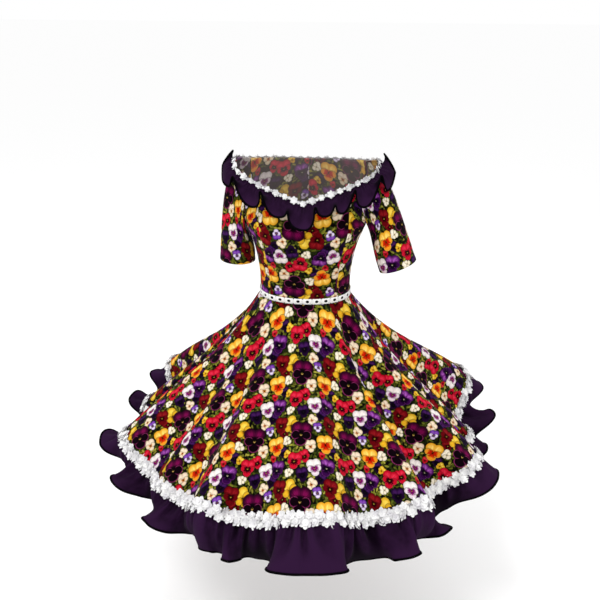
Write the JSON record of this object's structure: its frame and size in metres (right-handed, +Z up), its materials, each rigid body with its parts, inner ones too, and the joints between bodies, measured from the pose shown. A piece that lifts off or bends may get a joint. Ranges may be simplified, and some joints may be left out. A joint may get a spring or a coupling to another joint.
{
  "type": "huasa dress",
  "caption": "Huasa dress: fitted bodice with elbow sleeves and a frilled off-shoulder V neck, full-circle skirt in deep flutes with a lace band and a gathered frill at the hem.",
  "frame": {"origin": "centre of the waist seam, inside the wearer's waist", "axes": "+Z up along the wearer's body, -Y towards the wearer's front, +X towards the wearer's left"},
  "size_m": [1.0881, 1.1362, 0.8348],
  "materials": {
    "print_cloth": "woven cotton with a dense pansy print on a near-black ground",
    "frill_cloth": "plain deep purple woven cloth with a soft sheen",
    "binding": "black edge binding",
    "lace": "white raised-flower lace",
    "ribbon": "black satin ribbon",
    "trim": "white eyelet trim"
  },
  "bodies": {
    "root": {"bodice_front_centre": "print_cloth", "bodice_front_side_left": "print_cloth", "bodice_front_side_right": "print_cloth", "bodice_back_left": "print_cloth", "bodice_back_right": "print_cloth", "sleeve_left": "print_cloth", "sleeve_right": "print_cloth", "skirt_front": "print_cloth", "skirt_back": "print_cloth", "hem_ruffle": "frill_cloth", "hem_ruffle_binding": "binding", "hem_lace": "lace", "neck_ruffle": "frill_cloth", "neck_ruffle_binding": "binding", "neck_lace": "lace", "waist_ribbon": "ribbon", "waist_trim_front": "trim", "waist_trim_back": "trim"}
  },
  "joints": []
}
